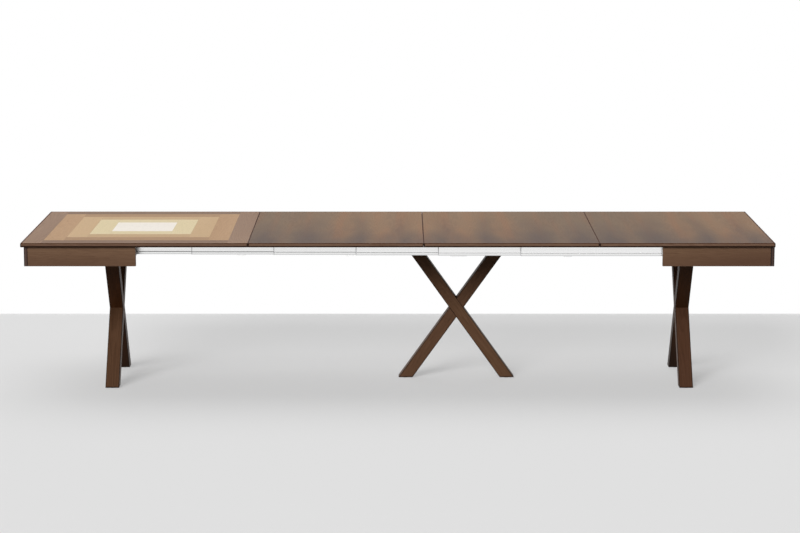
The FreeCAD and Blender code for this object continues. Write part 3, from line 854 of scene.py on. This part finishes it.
def framed(paint, rim_inner, rim_outer, dark, light, shade, **figure):
    """Veneer laid as a square frame from an inner to an outer distance from its middle: the grain follows
    Y in its left and right pieces, which run the full depth, and X in the other two, where the colours are
    times a shade. Joints are dark lines."""
    x = (spot(paint, "X") - inlay_middle.x).size()
    y = (spot(paint, "Y") - inlay_middle.y).size()
    stile = timber(along(paint, ALONG_Y), dark, light, **figure)
    rail = timber(along(paint, ALONG_X), shaded(dark, shade), shaded(light, shade), **figure)
    on_stile = x.rise(rim_inner - JOINT_HALF / 4, rim_inner + JOINT_HALF / 4)
    colour = on_stile.mix(rail[0], stile[0])
    square = paint.math("MAXIMUM", x, y)
    gap = paint.math("MINIMUM", (square - rim_inner).size(), (square - rim_outer).size())
    butt = (x - rim_inner).size() + (rim_inner - y).rise(-JOINT_HALF, 0.0)
    gap = paint.math("MINIMUM", gap, butt)
    colour = ((1.0 - gap.rise(0.0, JOINT_HALF)) * JOINT_COVER).mix(colour, JOINT)
    fibre = on_stile * stile[1] + (1.0 - on_stile) * rail[1]
    pores = on_stile * stile[2] + (1.0 - on_stile) * rail[2]
    return colour, fibre, pores


def border_veneer(paint):
    """The outermost frame of veneer, out to the edge strips."""
    half = half_side("inlay_outer_band")
    grain = framed(paint, half, BEYOND_EDGE, BORDER_DARK, BORDER_LIGHT, BORDER_SHADE)
    colour, fibre, pores = grain
    colour = seam_stain(paint, "main_top", colour)
    return lacquered(colour, fibre, pores, TOP_ROUGHNESS, TOP_GLOSS)


coat(finish("border_walnut", border_veneer), "main_top")

# Edge strips
# Solid walnut lippings, rounded over and glued to the edges of every panel, grain along the edge. Stain
# gathers in the upper rounded arris and leaves it darker than the flat, and painted shade darkens the
# lower arris, which faces down.

EDGE_DARK = (0.120, 0.066, 0.042)
EDGE_LIGHT = (0.210, 0.126, 0.084)
EDGE_RINGS = 120.0
EDGE_ROUGHNESS = 0.75
EDGE_GLOSS = 0.04
UPPER_STAIN = (0.054, 0.019, 0.008)
# Painted shade on the lower arris, and stain at notched ends
LOWER_SHADE_AND_NOTCH_STAIN = (0.026, 0.012, 0.007)
UPPER_ARRIS = 0.0038
LOWER_ARRIS = 0.0095
NOTCH_REACH = 0.0065
STAIN_FADE = 0.6
# Painted shade: the end strips are darker, the right one most
END_STRIP_PAINTED_SHADES = {"main_top_end_strip": 0.95, "leaf_3_end_strip": 0.65}


def lipping_finish(name, grain, notched, shade=1.0):
    """Walnut along the edge, its colours times a painted shade, mixed with dark stain near the upper
    arris, with painted shade near the lower arris and, where it meets the next panel's strip, with stain
    within a few millimetres of its ends."""
    dark, light, upper = (shaded(tone, shade) for tone in (EDGE_DARK, EDGE_LIGHT, UPPER_STAIN))
    low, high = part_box(name)
    half = (high.x - low.x) / 2

    def sockets(paint):
        """The strip's grain, then the stain above, the painted shade below and the stain at notched ends.
        """
        colour, fibre, pores = timber(along(paint, grain), dark, light, rings=EDGE_RINGS)
        height = spot(paint, "Z")
        above = height.rise(high.z - UPPER_ARRIS, high.z - UPPER_ARRIS * STAIN_FADE)
        below = 1.0 - height.rise(low.z + LOWER_ARRIS * STAIN_FADE, low.z + LOWER_ARRIS)
        if notched:
            from_end = half - (spot(paint, "X") - (low.x + half)).size()
            notch = 1.0 - from_end.rise(NOTCH_REACH * STAIN_FADE, NOTCH_REACH)
            below = paint.math("MAXIMUM", below, notch)
        colour = above.mix(colour, upper)
        colour = below.mix(colour, LOWER_SHADE_AND_NOTCH_STAIN)
        return lacquered(colour, fibre, pores, EDGE_ROUGHNESS, EDGE_GLOSS)

    return finish(name + "_walnut", sockets)


for panel in ("main_top", "leaf_1", "leaf_2", "leaf_3"):
    strips = f"{panel}_edge_strips"
    coat(lipping_finish(strips, ALONG_X, notched=True), strips)
for end_strip, strip_painted_shade in END_STRIP_PAINTED_SHADES.items():
    coat(lipping_finish(end_strip, ALONG_Y, notched=False, shade=strip_painted_shade), end_strip)

# Inlay
# Nested square bands of paler and paler veneer round a white sycamore square, pressed flush with the
# top. Each band is four strips, butted so that the left and right ones run the full depth.

# Each band has a dark and a light tone, and a shade for its front and back strips
BANDS = {
    "inlay_outer_band": ((0.37, 0.225, 0.125), (0.47, 0.305, 0.180), 0.86),
    "inlay_middle_band": ((0.47, 0.320, 0.180), (0.57, 0.400, 0.240), 0.95),
    "inlay_inner_band": ((0.61, 0.505, 0.310), (0.71, 0.600, 0.385), 1.0),
}
CENTRE_DARK = (0.79, 0.735, 0.660)
CENTRE_LIGHT = (0.87, 0.815, 0.745)
INLAY_CONTRAST = 0.7


def band_finish(name, inner):
    """A frame of veneer round the next piece inwards."""

    def sockets(paint):
        """The frame's grain under lacquer."""
        grain = framed(paint, half_side(inner), half_side(name), *BANDS[name], contrast=INLAY_CONTRAST)
        return lacquered(*grain, TOP_ROUGHNESS, TOP_GLOSS)

    return finish(name + "_veneer", sockets)


def centre_veneer(paint):
    """One sheet with its grain along X."""
    grain = timber(along(paint, ALONG_X), CENTRE_DARK, CENTRE_LIGHT, contrast=INLAY_CONTRAST)
    return lacquered(*grain, TOP_ROUGHNESS, TOP_GLOSS)


inner_pieces = list(BANDS)[1:] + ["inlay_centre"]
for band, inner_piece in zip(BANDS, inner_pieces):
    coat(band_finish(band, inner_piece), band)
coat(finish("inlay_centre_veneer", centre_veneer), "inlay_centre")

# Studio
# A pale floor, a white backdrop that shows only from the front, a broad soft light from the front left,
# another from high behind, and a little light all round. Camera and mirror rays see white surroundings.

STAGE_REACH = 60.0
FLOOR_PALE = (0.36, 0.36, 0.36, 1.0)
FLOOR_GLOW = 0.38
FLOOR_DIM = (0.18, 0.18, 0.18, 1.0)
FLOOR_MIRRORED = 0.88
WHITE = (1.0, 1.0, 1.0, 1.0)


def stage_sheet(name, corners):
    """A square sheet of the studio through four corners, with an empty material."""
    mesh = bpy.data.meshes.new(name)
    mesh.from_pydata(corners, [], [(0, 1, 2, 3)])
    sheet = bpy.data.objects.new(name, mesh)
    bpy.context.scene.collection.objects.link(sheet)
    material = bpy.data.materials.new(name)
    material.use_nodes = True
    material.node_tree.nodes.clear()
    mesh.materials.append(material)
    return Tint(material.node_tree)


def rays(paint, kind):
    """1 for rays of a kind, such as the camera's, and 0 for all others."""
    return paint.node("LightPath", {}, {}, f"Is {kind} Ray")


near_left, near_right = (-STAGE_REACH, -STAGE_REACH, 0.0), (STAGE_REACH, -STAGE_REACH, 0.0)
far_right, far_left = (STAGE_REACH, STAGE_REACH, 0.0), (-STAGE_REACH, STAGE_REACH, 0.0)
paint = stage_sheet("pale_floor", [near_left, near_right, far_right, far_left])
matt_pale = paint.node("BsdfDiffuse", {}, {"Color": FLOOR_PALE})
matt_dim = paint.node("BsdfDiffuse", {}, {"Color": FLOOR_DIM})
mirror_pale = paint.node("Emission", {}, {"Color": WHITE, "Strength": FLOOR_MIRRORED})
glow = paint.node("Emission", {}, {"Color": WHITE, "Strength": FLOOR_GLOW})
glowing = paint.node("AddShader", {}, {0: matt_pale, 1: glow})
shown = rays(paint, "Camera") + rays(paint, "Transmission")
matt = paint.node("MixShader", {}, {0: shown, 1: matt_dim, 2: glowing})
pale = paint.node("MixShader", {}, {0: rays(paint, "Glossy"), 1: matt, 2: mirror_pale})
from_below = paint.node("NewGeometry", {}, {}, "Backfacing")
clear = paint.node("BsdfTransparent", {}, {})
surface = paint.node("MixShader", {}, {0: from_below, 1: pale, 2: clear})
paint.node("OutputMaterial", {}, {"Surface": surface})

BACKDROP_PLACE = 1.745
BACKDROP_FADE = 0.010
low_left, low_right = (-STAGE_REACH, BACKDROP_PLACE, 0.0), (STAGE_REACH, BACKDROP_PLACE, 0.0)
high_right = (STAGE_REACH, BACKDROP_PLACE, STAGE_REACH)
high_left = (-STAGE_REACH, BACKDROP_PLACE, STAGE_REACH)
paint = stage_sheet("backdrop", [low_left, low_right, high_right, high_left])
from_front = 1.0 - paint.node("NewGeometry", {}, {}, "Backfacing")
shown = rays(paint, "Camera") * from_front * spot(paint, "Z").rise(0.0, BACKDROP_FADE)
clear = paint.node("BsdfTransparent", {}, {})
white = paint.node("Emission", {}, {"Color": WHITE, "Strength": 1.0})
surface = paint.node("MixShader", {}, {0: shown, 1: clear, 2: white})
paint.node("OutputMaterial", {}, {"Surface": surface})

AMBIENT = 0.22
world = bpy.data.worlds.new("studio")
bpy.context.scene.world = world
world.use_nodes = True
world.node_tree.nodes.clear()
sky = Tint(world.node_tree)
shown = rays(sky, "Camera") + rays(sky, "Glossy") + rays(sky, "Transmission")
light_all_round = {"Color": WHITE, "Strength": shown * (1.0 - AMBIENT) + AMBIENT}
sky.node("OutputWorld", {}, {"Surface": sky.node("Background", {}, light_all_round)})


def soft_light(name, bearing, height, spread, strength):
    """A broad distant lamp: bearing turns it from the front towards the left, height lifts it, and
    spread is how wide it looks from the table, all in degrees."""
    turn, lift = math.radians(bearing), math.radians(height)
    level = math.cos(lift)
    towards = Vector((-math.sin(turn) * level, -math.cos(turn) * level, math.sin(lift)))
    data = bpy.data.lights.new(name, "SUN")
    data.energy = strength * math.pi
    data.angle = math.radians(spread)
    lamp = bpy.data.objects.new(name, data)
    lamp.rotation_euler = towards.to_track_quat("Z", "Y").to_euler()
    bpy.context.scene.collection.objects.link(lamp)


soft_light("front_light", bearing=25.0, height=27.0, spread=30.0, strength=0.90)
soft_light("top_light", bearing=160.0, height=68.0, spread=60.0, strength=0.42)

# Camera
# A long lens stands well back in front of the table, above head height, and is tilted down at it. It
# has no shift and no blur with depth.

CAMERA_PLACE = Vector((0.0104, -12.657, 2.635))
CAMERA_DIP = math.radians(9.28)
CAMERA_LENS = 114.15

camera_data = bpy.data.cameras.new("camera")
camera_data.lens = CAMERA_LENS
camera = bpy.data.objects.new("camera", camera_data)
camera.location = CAMERA_PLACE
camera.rotation_euler = (math.pi / 2 - CAMERA_DIP, 0.0, 0.0)
bpy.context.scene.collection.objects.link(camera)
bpy.context.scene.camera = camera
bpy.context.scene.view_settings.view_transform = "Standard"
